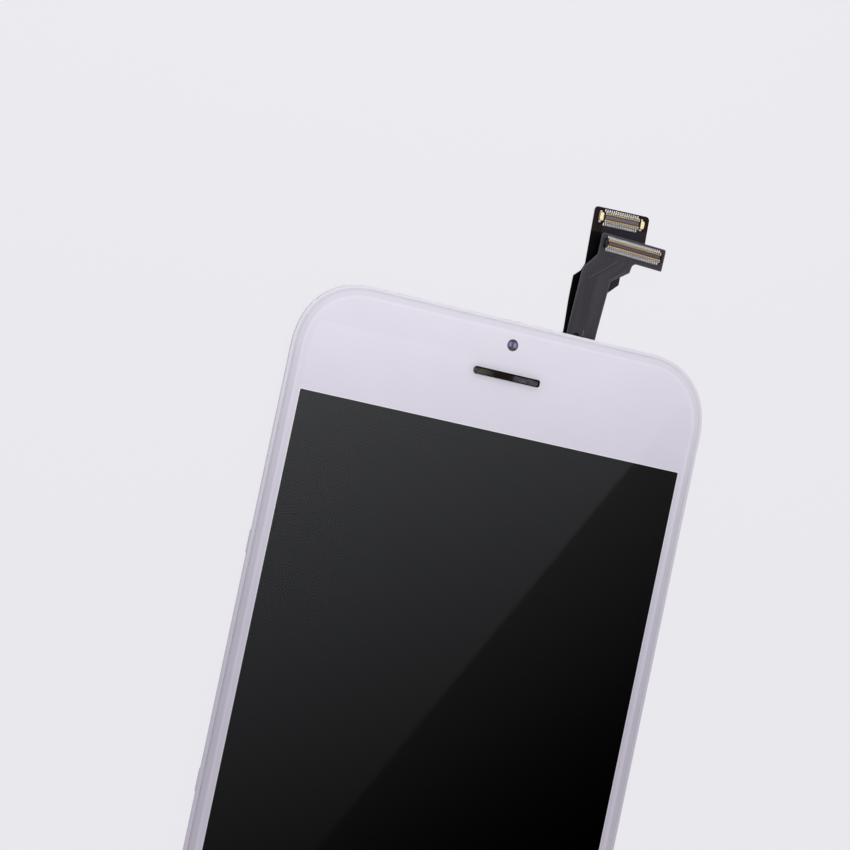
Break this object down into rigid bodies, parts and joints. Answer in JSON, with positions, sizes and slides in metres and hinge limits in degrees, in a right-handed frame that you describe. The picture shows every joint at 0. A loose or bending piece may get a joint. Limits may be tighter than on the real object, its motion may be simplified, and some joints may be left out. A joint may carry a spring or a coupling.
{
  "type": "phone lcd screen assembly",
  "caption": "White phone display assembly: curved cover glass over a dark panel in a moulded frame, with short flexible circuits and board connectors at its top edge.",
  "frame": {"origin": "centre of the steel pan's rear face, under the centre of the cover glass", "axes": "+Z out of the display towards the viewer, +Y towards the phone's top edge, where the flexible circuits leave, +X to the right as seen from the front"},
  "size_m": [0.065, 0.1564, 0.003],
  "materials": {
    "cover_glass": "polished",
    "white_ink": "gloss under glass",
    "white_frame": "satin moulded",
    "clear_adhesive": "clear",
    "clear_film": "satin film",
    "polariser": "dark film",
    "cell_glass": "polished",
    "silicon": "dark gloss",
    "reflector": "mirror film",
    "acrylic": "clear",
    "white_moulding": "satin",
    "black_tape": "matt",
    "diode_strip": "satin",
    "stainless_steel": "rolled",
    "black_plastic": "satin",
    "sensor_lens": "polished dark",
    "woven_mesh": "blackened wire",
    "black_foam": "open foam",
    "flex_grey": "satin coverlay",
    "flex_black": "satin coverlay",
    "connector": "moulded",
    "gold": "plated"
  },
  "bodies": {
    "root": {"cover_glass": "cover_glass", "ink_border": "white_ink", "bezel_frame": "white_frame", "frame_adhesive": "clear_adhesive", "adhesive_upper": "clear_adhesive", "adhesive_lower": "clear_adhesive", "touch_film": "clear_film", "front_polariser": "polariser", "colour_filter_glass": "cell_glass", "transistor_glass": "cell_glass", "rear_polariser": "polariser", "driver_chip": "silicon", "rim_tape": "black_tape", "prism_film_upper": "clear_film", "prism_film_lower": "clear_film", "diffuser_film": "clear_film", "light_guide": "acrylic", "reflector_film": "reflector", "led_strip": "diode_strip", "backlight_frame": "white_moulding", "backlight_tray": "stainless_steel", "sensor_holder": "black_plastic", "sensor_lens": "sensor_lens", "earpiece_mesh": "woven_mesh", "earpiece_gasket": "black_foam", "top_hook_left": "stainless_steel", "top_hook_right": "stainless_steel", "screw_tab_left": "stainless_steel", "screw_tab_right": "stainless_steel", "touch_flex": "flex_grey", "touch_stiffener": "stainless_steel", "touch_connector": "connector", "display_flex": "flex_black", "display_stiffener": "stainless_steel", "display_connector": "connector", "display_tab_left": "gold", "display_tab_right": "gold", "side_clip_left_1": "stainless_steel", "side_clip_left_2": "stainless_steel", "side_clip_left_3": "stainless_steel", "side_clip_right_1": "stainless_steel", "side_clip_right_2": "stainless_steel", "side_clip_right_3": "stainless_steel"}
  },
  "joints": []
}
